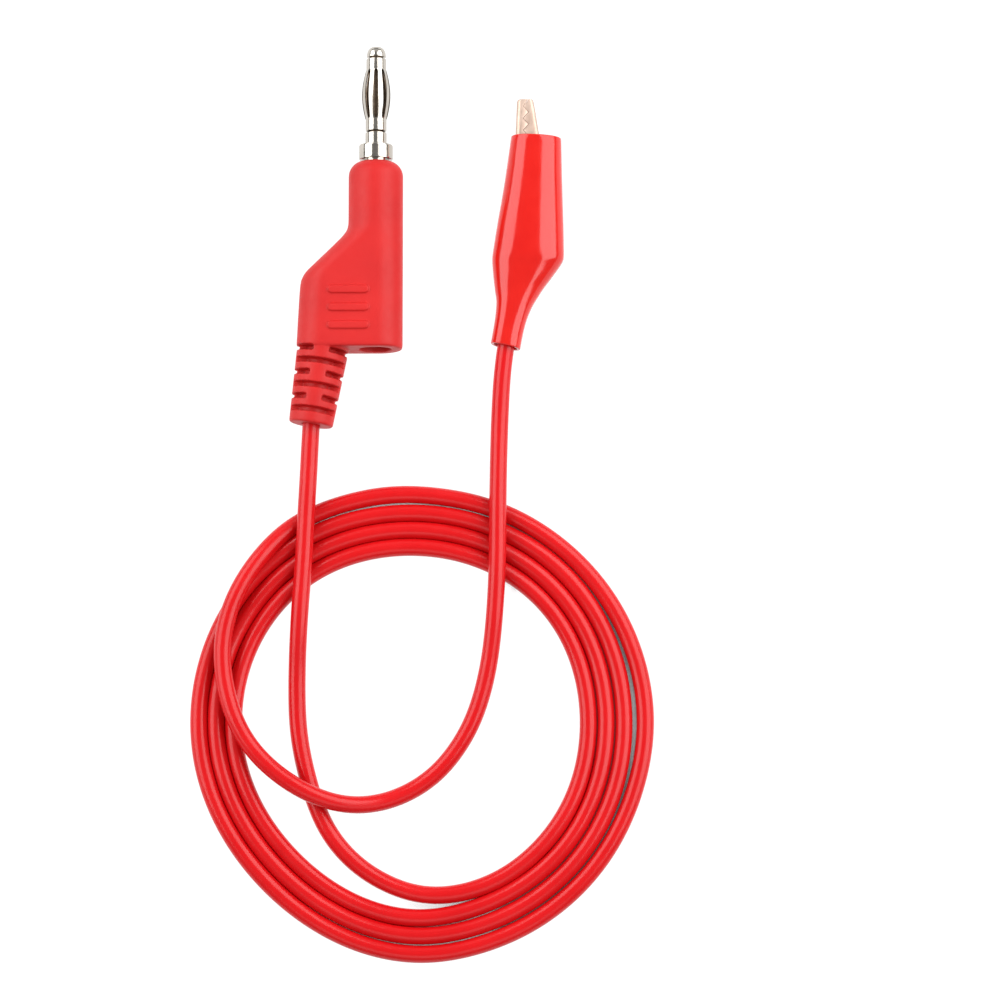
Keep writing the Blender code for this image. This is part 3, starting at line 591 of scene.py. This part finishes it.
# ---------------------------------------------------------------- the plug
NECK_Y = 12.1
NECK_ROUNDING = 2.5
LEAVES = 9
LEAF_WALL = 0.2
SLOT_HALF_WIDTH = 0.4
BARREL_RADIUS = 4.35
BAR_ROWS = (-9.55, -12.45, -15.35)  # y of the raised grip bars
LEG_LEFT_X = -21.05
LEG_HALF_HEIGHT = 4.05
LEG_START_Y = 2.6  # where the barrel starts to widen into the leg
HOUSING_END_Y = -18.7
END_ROUNDING = 0.5
GROOVES = 6
FIRST_GROOVE = 0.34
GROOVE_PITCH = 1.97
THIN_TOP_Y, THIN_BOTTOM_Y = 29.3, 16.8  # the core's thin stretch, inside the cage
THIN_RADIUS = 1.05


def rounded_section(y, left, right, half_height, corner, steps=14):
    points = []
    corners = (
        (right - corner, half_height - corner, 0),
        (left + corner, half_height - corner, 90),
        (left + corner, corner - half_height, 180),
        (right - corner, corner - half_height, 270),
    )
    for x, z, start in corners:
        for px, pz in arc((x, z), corner, start, start + 90, steps):
            points.append(Vector((px, y, PLUG_Z + pz)) * MM)
    return points


def housing_body():
    """The housing as a loft of rounded sections, from the neck down to the rear face."""
    right = PLUG_X + BARREL_RADIUS + 0.05
    left = PLUG_X - BARREL_RADIUS - 0.05
    sections = []
    for i in range(9):
        angle = math.pi / 2 * i / 8
        inset = NECK_ROUNDING * (1 - math.sin(angle))
        radius = BARREL_RADIUS - inset
        y = NECK_Y - NECK_ROUNDING * (1 - math.cos(angle))
        sections.append((y, left + inset, right - inset, radius, radius))
    flank = (
        (LEG_START_Y, -12.8), (1.6, -12.85), (0.7, -13.1), (-0.3, -13.8), (-1.3, -14.75), (-3.0, -16.45),
        (-4.9, -18.4), (-6.0, -19.5), (-7.0, -20.15), (-8.4, -20.52), (-13.0, -20.8), (-18.0, LEG_LEFT_X),
    )
    for y, x in smooth_through([Vector(point) for point in flank], 3):
        share = min(1.0, max(0.0, (LEG_START_Y - y) / 6.0))
        sections.append((y, x, right, BARREL_RADIUS, BARREL_RADIUS - 0.3 * share))
    for i in range(1, 4):
        angle = math.pi / 2 * i / 3
        inset = END_ROUNDING * (1 - math.cos(angle))
        y = HOUSING_END_Y + END_ROUNDING * (1 - math.sin(angle))
        corner = LEG_HALF_HEIGHT - inset
        sections.append((y, LEG_LEFT_X + inset, right - inset, BARREL_RADIUS - inset, corner))
    bm = bmesh.new()
    rings = [[bm.verts.new(point) for point in rounded_section(*section)] for section in sections]
    bridge_rings(bm, rings, close_ends=True)
    bmesh.ops.remove_doubles(bm, verts=bm.verts, dist=1e-7)
    return object_from("plug_moulding", bm)


def grip_bar(y):
    middle, reach, radius = -12.65, 2.7, 0.6
    outline = arc((middle + reach, y), radius, -90, 90, 12) + arc((middle - reach, y), radius, 90, 270, 12)
    bar = plate("bar", outline, 0.35)
    bar.location.z = (2 * PLUG_Z - 0.02) * MM
    return freeze(bar)


def relief_radius(along):
    return 4.15 - 0.6 * along / (RELIEF_END - RELIEF_TOP).length


def groove_outlines(i):
    """The cuts between two rings, on one face: two pockets beside the rib, or one groove across."""
    core = 2.2
    web, rib = (0.55, 1.25) if i % 2 == 0 else (0.9, 0.0)
    start, end = math.degrees(math.asin(web / core)), math.degrees(math.acos(rib / core))
    if rib:
        pocket = [(rib, 6), (6, 6), (6, web), *arc((0, 0), core, start, end, 10)]
        return [pocket, [(-x, y) for x, y in pocket]]
    return [[(-6, web), (-6, 6), (6, 6), (6, web), *arc((0, 0), core, start, 180 - start, 20)]]


def ring_cutters():
    """The pockets and grooves between the rings, and the notches in the web at their middle."""
    direction = RELIEF_END - RELIEF_TOP
    cuts, notches = bmesh.new(), bmesh.new()
    for i in range(GROOVES):
        along = FIRST_GROOVE + i * GROOVE_PITCH
        edge = relief_radius(along) - 0.45
        notch = [(edge, -6), (6, -6), (6, 6), (edge, 6)]
        shapes = [(cuts, outline) for outline in groove_outlines(i)]
        shapes += [(notches, notch)] if i % 2 == 0 else []
        for bm, outline in shapes:
            for half in range(2):
                groove = plate("groove", outline, 0.46 if bm is cuts else 0.3)
                groove.data.transform(Matrix.Rotation(math.pi * half, 4, "Z"))
                point_along(groove, RELIEF_TOP + direction.normalized() * along, direction)
                bm.from_mesh(groove.data)
                bpy.data.objects.remove(groove, do_unlink=True)
    for bm in (cuts, notches):
        bmesh.ops.recalc_face_normals(bm, faces=bm.faces)
    return object_from("grooves", cuts), object_from("notches", notches)


def make_housing():
    housing = housing_body()
    direction = RELIEF_END - RELIEF_TOP
    length = direction.length
    relief = turned(
        "relief",
        [(0, length), (3.2, length), (3.45, length - 0.1), (3.55, length - 0.35), (4.2, -1), (0, -1)],
    )
    boolean(housing, point_along(relief, RELIEF_TOP, direction), "UNION")
    for y in BAR_ROWS:
        boolean(housing, grip_bar(y), "UNION")
    for cutter in ring_cutters():
        boolean(housing, cutter, "DIFFERENCE")
    cavity = [
        (0, 13.6), (2.2, 13.6), (2.2, 9.3), (3.25, 9.3), (3.25, -16.0),
        (2.6, -16.0), (2.6, -19.7), (0, -19.7),
    ]
    boolean(housing, stand_along_y(turned("cavity", cavity, 64), PLUG_X, PLUG_Z), "DIFFERENCE")
    bore = [(0, length + 1), (1.5, length + 1), (1.5, -8.0), (0, -8.0)]
    boolean(housing, point_along(turned("bore", bore, 48), RELIEF_TOP, direction), "DIFFERENCE")
    remeshed(housing, 0.13, 4)
    finish(housing, "red_moulding")
    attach(housing, "lead")
    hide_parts("plug_housing")


def make_core():
    """The turned pin: its head, the thin stretch in the cage, shaft, collar and rear socket."""
    profile = [
        (0, 31.0), (0.55, 31.0), (0.78, 30.96), (0.98, 30.86), (1.17, 30.69), (1.32, 30.48),
        (1.43, 30.24), (1.51, 29.95), (1.57, 29.5), (1.55, 29.35), (1.48, THIN_TOP_Y),
        (THIN_RADIUS, THIN_TOP_Y), (THIN_RADIUS, THIN_BOTTOM_Y), (1.66, THIN_BOTTOM_Y), (1.73, 16.73),
        (1.73, 14.86), (1.77, 14.8), (2.5, 14.8),
        (2.68, 14.74), (2.75, 14.56), (2.75, 12.55), (2.7, 12.43), (2.6, 12.4), (1.9, 12.4),
        (1.9, 9.0), (2.95, 9.0), (2.95, -15.55), (2.85, -15.7), (2.3, -15.7), (2.12, -15.62),
        (2.0, -15.35), (2.0, -2.7), (0, -1.5),
    ]
    core = stand_along_y(turned("turned_core", held(profile)), PLUG_X, PLUG_Z)
    core.data.shade_smooth()
    core.data.set_sharp_from_angle(angle=math.radians(32))
    finish(core, "nickel")
    widest = THIN_RADIUS + 0.05
    # painted shade on the core's thin stretch inside the cage
    paint_inside_shade(core, lambda radius, y, outward: THIN_BOTTOM_Y < y < THIN_TOP_Y and radius < widest)
    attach(core, "lead")
    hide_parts("plug_core")


def make_cage():
    """The lantern: a rolled sleeve whose middle is slit into bulging leaves."""
    leaf_top, leaf_bottom = 27.2, 19.0
    outer = [(1.52, 29.0), (1.6, 28.96), (1.62, 28.85), (1.62, 27.26)]
    steps = 28
    for i in range(steps + 1):
        share = i / steps
        y = leaf_top + (leaf_bottom - leaf_top) * share
        base = 1.62 + 0.08 * share
        outer.append((base + 0.63 * math.sin(math.pi * share) ** 0.95, y))
    outer += [(1.70, 18.94), (1.70, 17.25), (1.68, 17.14), (1.6, 17.1)]
    inner = [(radius - LEAF_WALL, y) for radius, y in reversed(outer[2:-2])]
    inner = [(1.45, 17.1), *inner, (1.4, 29.0)]
    cage = stand_along_y(turned("lantern_spring", outer + inner, 128, closed=True), PLUG_X, PLUG_Z)
    half_length = (leaf_top - leaf_bottom) / 2 - 0.05
    outline = []
    for side in (1, -1):
        for i in range(20):
            along = side * half_length * math.cos(math.pi * i / 20)
            outline.append((side * SLOT_HALF_WIDTH * math.sin(math.pi * i / 20) ** 0.45, along))
    bm = bmesh.new()
    for i in range(LEAVES):
        slot = plate("slot", outline, 1.5)
        slot.data.transform(Matrix.Translation((0, 0, 2.5 * MM)))
        slot.data.transform(Matrix.Rotation(2 * math.pi * i / LEAVES, 4, "Y"))
        middle = (leaf_top + leaf_bottom) / 2
        slot.data.transform(Matrix.Translation((PLUG_X * MM, middle * MM, PLUG_Z * MM)))
        bm.from_mesh(slot.data)
        bpy.data.objects.remove(slot, do_unlink=True)
    boolean(cage, object_from("slots", bm), "DIFFERENCE")
    cage.data.shade_smooth()
    cage.data.set_sharp_from_angle(angle=math.radians(32))
    finish(cage, "nickel")
    # painted shade on the cage's inside faces and slot walls
    paint_inside_shade(cage, lambda radius, y, outward: 17.2 < y < 28.9 and outward < 0.6)
    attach(cage, "spring_cage")
    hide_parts("spring_cage")


make_housing()
make_core()
make_cage()


# ---------------------------------------------------------------- the clip
JAW_TIP_Y = 22.2
TEETH = 5
SHEET = 0.35
TAIL_END_X, TAIL_END_Y = 12.56, -18.1
BOOT_WALL = 0.55


def channel(name, stations, wall, bend):
    """A stamped channel: stations give y, the x of its floor and of its open edges, and half its width."""
    bm = bmesh.new()
    rows = []
    for y, floor, edge, half in stations:
        side = 1 if edge > floor else -1
        reach = min(bend, abs(edge - floor) * 0.8)
        row = [(edge, -half)]
        for px, pz in arc((0, 0), 1, -90, 0, 6):
            row.append((floor + side * reach * (1 - px), -half + reach * (1 + pz)))
        row += [(x, -z) for x, z in reversed(row)]
        rows.append([bm.verts.new(Vector((x, y, CLIP_Z + z)) * MM) for x, z in row])
    for first, second in zip(rows, rows[1:]):
        for i in range(len(first) - 1):
            bm.faces.new((first[i], first[i + 1], second[i + 1], second[i]))
    bmesh.ops.recalc_face_normals(bm, faces=bm.faces)
    obj = object_from(name, bm)
    sheet = obj.modifiers.new("sheet", "SOLIDIFY")
    sheet.thickness = wall * MM
    sheet.offset = -1
    soft = obj.modifiers.new("soft", "BEVEL")
    soft.width = 0.08 * MM
    soft.segments = 2
    soft.limit_method = "ANGLE"
    soft.angle_limit = math.radians(50)
    return apply_modifiers(obj)


def tooth_edge(first, second, offset):
    """The zigzag of the teeth, as (y, x) pairs from the tip."""
    pairs = []
    for i in range(2 * TEETH + 1):
        x = (first if i % 2 == 0 else second) + offset
        pairs.append((JAW_TIP_Y - i - (0.15 if i else 0), x))
    return pairs


def between(pairs, y):
    """The value at y on a line through (y, value) pairs that fall in y."""
    for (y1, v1), (y2, v2) in zip(pairs, pairs[1:]):
        if y2 <= y <= y1:
            return v1 + (v2 - v1) * (y1 - y) / (y1 - y2)
    return pairs[0][1] if y > pairs[0][0] else pairs[-1][1]


def jaw_stations(floor, edge, width, extra):
    """One station at every y where the floor, the edge or the width changes."""
    levels = sorted({y for pairs in (floor, edge, width) for y, _ in pairs} | set(extra), reverse=True)
    return [(y, between(floor, y), between(edge, y), between(width, y)) for y in levels]


def pivot_drill():
    drill = turned("drill", [(0, 5), (1.05, 5), (1.05, -5), (0, -5)], 32)
    drill.location = PIVOT * MM
    return freeze(drill)


def barrel(name, start, end, inner, outer):
    length = (end - start).length
    outline = [(outer, length), (outer, 0), (inner, 0), (inner, length)]
    return point_along(turned(name, outline, 48, closed=True), start, end - start)


def tail_point(y):
    x = TAIL_END_X + (y - TAIL_END_Y) * math.tan(TAIL_LEAN)
    return Vector((x, y, CLIP_Z))


def make_lower_jaw():
    floor = [
        (JAW_TIP_Y, 14.68), (22.12, 14.52), (21.9, 14.42), (20.8, 14.36), (17.0, 14.2), (13.0, 14.1),
        (8.0, 13.75), (4.0, 13.2), (-0.5, 12.5), (-3.5, 12.2), (-5.4, 12.35),
    ]
    edge = tooth_edge(16.25, 15.4, -0.04)
    edge += [(10.3, 15.95), (9.7, 17.4), (8.6, 18.3), (7.6, 18.6), (6.6, 18.3), (5.5, 17.2)]
    edge += [(4.0, 15.4), (0.5, 14.4), (-2.5, 14.2), (-4.4, 13.4), (-5.4, 12.8)]
    width = [(JAW_TIP_Y, 1.5), (12.2, 1.55), (10.5, 2.3), (-5.4, 2.3)]
    jaw = channel("lower_jaw_stamping", jaw_stations(floor, edge, width, (15.0, 2.0)), SHEET, 0.7)
    weld(jaw.data)
    boolean(jaw, pivot_drill(), "DIFFERENCE")
    strip_outline = [
        (12.35, -4.6), (12.7, -4.6), (12.75, -6.5), (12.85, -8.7), (12.42, -10.7),
        (12.15, -10.7), (12.45, -8.7), (12.3, -6.5),
    ]
    strip = plate("strip", strip_outline, 1.3)
    strip.location.z = CLIP_Z * MM
    boolean(jaw, freeze(strip), "UNION")
    boolean(jaw, barrel("cable_crimp", tail_point(-10.9), tail_point(-8.9), 1.65, 1.95), "UNION")
    wire_start, wire_end = Vector((13.85, -7.2, CLIP_Z)), Vector((13.8, -5.9, CLIP_Z))
    boolean(jaw, barrel("wire_crimp", wire_start, wire_end, 0.85, 1.2), "UNION")
    jaw.data.shade_smooth()
    jaw.data.set_sharp_from_angle(angle=math.radians(30))
    finish(jaw, "coppered_jaw")
    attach(jaw, "lead")
    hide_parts("clip_lower_jaw")


def make_upper_jaw():
    floor = [
        (JAW_TIP_Y, 16.85), (22.12, 16.98), (21.85, 17.08), (20.6, 17.33), (17.2, 17.85), (14.0, 18.4),
        (10.0, 19.1), (5.0, 19.9), (0.0, 20.5), (-3.4, 20.75), (-3.9, 20.6),
    ]
    edge = tooth_edge(16.25, 15.4, 0.06)
    edge += [(10.3, 16.35), (9.5, 15.6), (8.6, 14.7), (7.6, 14.4), (6.6, 14.7), (5.5, 15.9)]
    edge += [(3.8, 17.7), (1.0, 18.3), (-2.0, 18.9), (-3.9, 19.3)]
    width = [(JAW_TIP_Y, 1.5), (20.0, 1.55), (-3.9, 1.55)]
    jaw = channel("upper_jaw_stamping", jaw_stations(floor, edge, width, (15.0, 2.0)), SHEET, 0.6)
    weld(jaw.data)
    boolean(jaw, pivot_drill(), "DIFFERENCE")
    jaw.data.shade_smooth()
    jaw.data.set_sharp_from_angle(angle=math.radians(30))
    finish(jaw, "coppered_jaw")
    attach(jaw, "upper_jaw")
    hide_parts("clip_upper_jaw")


def make_boot():
    """The sleeve over the clip: a loft of oval sections from its mouth to its tail."""
    stations = [
        (16.3, 13.45, 21.6, 3.35), (13.0, 13.0, 21.65, 3.55), (9.2, 12.45, 21.72, 3.75),
        (5.5, 11.85, 21.82, 3.86), (1.8, 11.2, 21.92, 3.93), (-1.5, 10.68, 21.98, 3.97),
        (-3.3, 10.42, 21.98, 3.96), (-4.2, 10.38, 21.82, 3.84), (-5.3, 10.45, 21.15, 3.6),
        (-7.2, 10.62, 19.78, 3.3), (-9.2, 10.85, 18.3, 2.95), (-11.2, 11.05, 16.85, 2.7),
        (-13.2, 10.95, 16.0, 2.48), (-15.5, 10.62, 15.4, 2.38), (-18.15, 10.15, 14.9, 2.35),
    ]
    count = 56  # points round each section
    tail_start_y = -9.0  # below this the sections lean with the tail
    mouth_start_y, mouth_length, mouth_slope = 9.2, 7.0, 0.05  # the mouth is cut a little aslant
    bm = bmesh.new()
    rings = []
    for y, left, right, depth in smooth_through([Vector(station) for station in stations], 3):
        middle, half = (left + right) / 2, (right - left) / 2
        lean = math.tan(TAIL_LEAN) * min(1.0, max(0.0, (tail_start_y - y) / 3.0))
        mouth_share = min(1.0, max(0.0, (y - mouth_start_y) / mouth_length))
        ring = []
        for i in range(count):
            angle = 2 * math.pi * i / count
            across = half * math.copysign(abs(math.cos(angle)) ** BOOT_SQUARENESS, math.cos(angle))
            deep = depth * math.copysign(abs(math.sin(angle)) ** BOOT_SQUARENESS, math.sin(angle))
            sunk = mouth_slope * (middle + across - left) * mouth_share
            place = Vector((middle + across, y - lean * across - sunk, CLIP_Z + deep))
            ring.append(bm.verts.new(place * MM))
        rings.append(ring)
    bridge_rings(bm, rings, close_ends=False)
    boot = object_from("vinyl_boot", bm)
    wall = boot.modifiers.new("wall", "SOLIDIFY")
    wall.thickness = BOOT_WALL * MM
    wall.offset = -1
    rim = boot.modifiers.new("rim", "BEVEL")
    rim.width = 0.16 * MM
    rim.segments = 3
    rim.limit_method = "ANGLE"
    rim.angle_limit = math.radians(50)
    apply_modifiers(boot)
    boot.data.shade_smooth()
    finish(boot, "red_boot")
    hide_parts("clip_boot")
    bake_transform(boot)


def make_clip_spring():
    """The torsion spring round the rivet, with a leg along the inside of each jaw."""
    radius, turns, half_height, steps = 1.25, 2.5, 0.72, 90
    wire_radius = 0.22 * MM
    low, high = CLIP_Z - half_height, CLIP_Z + half_height
    marks = [Vector((18.75, -1.2, low)), Vector((18.45, 3.0, low))]
    for i in range(steps + 1):
        angle = 2 * math.pi * turns * i / steps
        height = half_height * (2 * i / steps - 1)
        marks.append(PIVOT + Vector((radius * math.cos(angle), radius * math.sin(angle), height)))
    marks += [Vector((14.6, 3.0, high)), Vector((13.5, -1.2, high))]
    wire = tube_mesh("torsion_spring", [mark * MM for mark in marks], lambda s, a: wire_radius, 14)
    finish(wire, "spring_steel")
    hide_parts("clip_spring")
    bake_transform(wire)


make_lower_jaw()
make_upper_jaw()
make_boot()
make_clip_spring()

for node, slot in (
    ("clip_pivot_rivet", "spring_steel"),
    ("plug_solder", "solder"),
    ("plug_conductor", "copper_wire"),
    ("clip_conductor", "copper_wire"),
    ("cable_end_in_plug", "cable_jacket"),
    ("cable_end_in_clip", "cable_jacket"),
):
    finish(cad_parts[node], slot)


# ---------------------------------------------------------------- floor and light
COIL_TOP_Y = -44 * MM  # the floor is shaded only below this, where the coil lies
SHADE_REACH = 4 * MM
RIGHT_SIDE = (10 * MM, 14 * MM)  # the x over which the limits change to those of the right side
DARK_BELOW = (0.02, 0.22)  # share of open sky that is darkest, on the left and on the right
LIGHT_ABOVE = (0.2, 0.42)  # and the share that is lightest
FLOOR_GLOW = (0.05, 0.98)


def crevice_shade(tree):
    """Floor light that fades in the narrow gaps between turns, and in wider ones on the right.

    The floor's own light is otherwise even, so that without this a gap between two turns would
    show as a bright line where the photograph has a dark one.
    """
    place = tree.nodes.new("ShaderNodeTexCoord")
    split = tree.nodes.new("ShaderNodeSeparateXYZ")
    tree.links.new(place.outputs["Object"], split.inputs[0])
    open_sky = tree.nodes.new("ShaderNodeAmbientOcclusion")
    open_sky.inputs["Distance"].default_value = SHADE_REACH
    open_sky.samples = 8
    in_coil = tree.nodes.new("ShaderNodeMath")
    in_coil.operation = "LESS_THAN"
    in_coil.inputs[1].default_value = COIL_TOP_Y
    tree.links.new(split.outputs["Y"], in_coil.inputs[0])
    rightward = tree.nodes.new("ShaderNodeMath")
    rightward.operation = "MULTIPLY"
    tree.links.new(split.outputs["X"], rightward.inputs[0])
    tree.links.new(in_coil.outputs[0], rightward.inputs[1])
    limits = []
    for left, right in (DARK_BELOW, LIGHT_ABOVE):
        limit = tree.nodes.new("ShaderNodeMapRange")
        limit.inputs["From Min"].default_value, limit.inputs["From Max"].default_value = RIGHT_SIDE
        limit.inputs["To Min"].default_value = left
        limit.inputs["To Max"].default_value = right
        tree.links.new(rightward.outputs[0], limit.inputs["Value"])
        limits.append(limit.outputs[0])
    shade = tree.nodes.new("ShaderNodeMapRange")
    tree.links.new(open_sky.outputs["AO"], shade.inputs["Value"])
    tree.links.new(limits[0], shade.inputs["From Min"])
    tree.links.new(limits[1], shade.inputs["From Max"])
    shade.inputs["To Min"].default_value, shade.inputs["To Max"].default_value = FLOOR_GLOW
    return shade.outputs[0]


def make_floor():
    """A plain table that looks white, just below the lead so that the two surfaces stay apart."""
    bm = bmesh.new()
    bmesh.ops.create_grid(bm, x_segments=1, y_segments=1, size=1.5)
    floor = object_from("floor", bm)
    floor.location = (0, 0, -0.02 * MM)
    material = bpy.data.materials.new("floor")
    material.use_nodes = True
    shader = material.node_tree.nodes["Principled BSDF"]
    shader.inputs["Base Color"].default_value = (0.1, 0.1, 0.1, 1)
    shader.inputs["Roughness"].default_value = 0.9
    shader.inputs["Emission Color"].default_value = (1, 1, 1, 1)
    material.node_tree.links.new(crevice_shade(material.node_tree), shader.inputs["Emission Strength"])
    floor.data.materials.append(material)


def area_light(name, direction, distance, size, power):
    """A soft box that faces the middle of the object."""
    light = bpy.data.lights.new(name, "AREA")
    light.shape = "RECTANGLE"
    light.size, light.size_y = size
    light.energy = power
    obj = bpy.data.objects.new(name, light)
    scene.collection.objects.link(obj)
    middle = Vector((0, -0.03, 0))
    obj.location = middle + Vector(direction).normalized() * distance
    obj.rotation_euler = (middle - obj.location).to_track_quat("-Z", "Y").to_euler()


def make_light():
    area_light("left_box", (-1.0, 0.34, 0.77), 0.55, (0.75, 0.44), 3.6)
    area_light("right_box", (1.0, 0.34, 0.92), 0.55, (0.75, 0.55), 4.7)
    area_light("far_box", (0.0, 1.0, 0.55), 0.55, (0.6, 0.3), 0.2)
    area_light("near_box", (0.0, -1.0, 1.0), 0.6, (0.6, 0.3), 0.6)
    world = bpy.data.worlds.new("world")
    world.use_nodes = True
    world.node_tree.nodes["Background"].inputs["Color"].default_value = (1, 1, 1, 1)
    world.node_tree.nodes["Background"].inputs["Strength"].default_value = 0.26
    scene.world = world
    scene.view_settings.view_transform = "Standard"


make_floor()
make_light()

bpy.context.view_layer.update()
